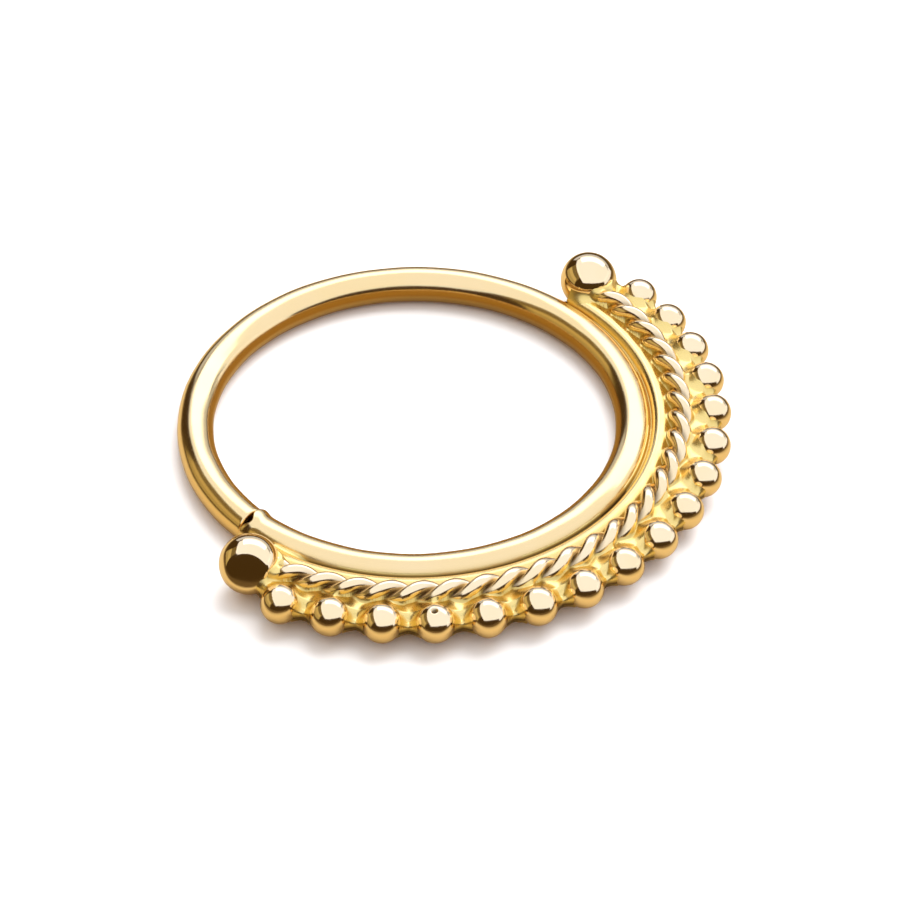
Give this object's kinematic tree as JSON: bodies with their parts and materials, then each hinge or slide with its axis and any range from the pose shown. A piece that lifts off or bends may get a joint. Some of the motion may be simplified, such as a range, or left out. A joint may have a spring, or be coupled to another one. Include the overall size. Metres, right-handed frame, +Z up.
{
  "type": "nose ring",
  "caption": "Round wire nose ring with a seam, its front carrying a plain wire, a twisted wire, a row of granules and a ball at each end.",
  "frame": {"origin": "on the table that the ring lies on, under the middle of its outline", "axes": "+X from one ball to the other, across the ornament; -Y towards the middle granule; +Z up from the table, along the hoop's axis"},
  "size_m": [0.0154, 0.0138, 0.0016],
  "materials": {
    "gold": "polished"
  },
  "bodies": {
    "root": {"nose_ring": "gold"}
  },
  "joints": []
}
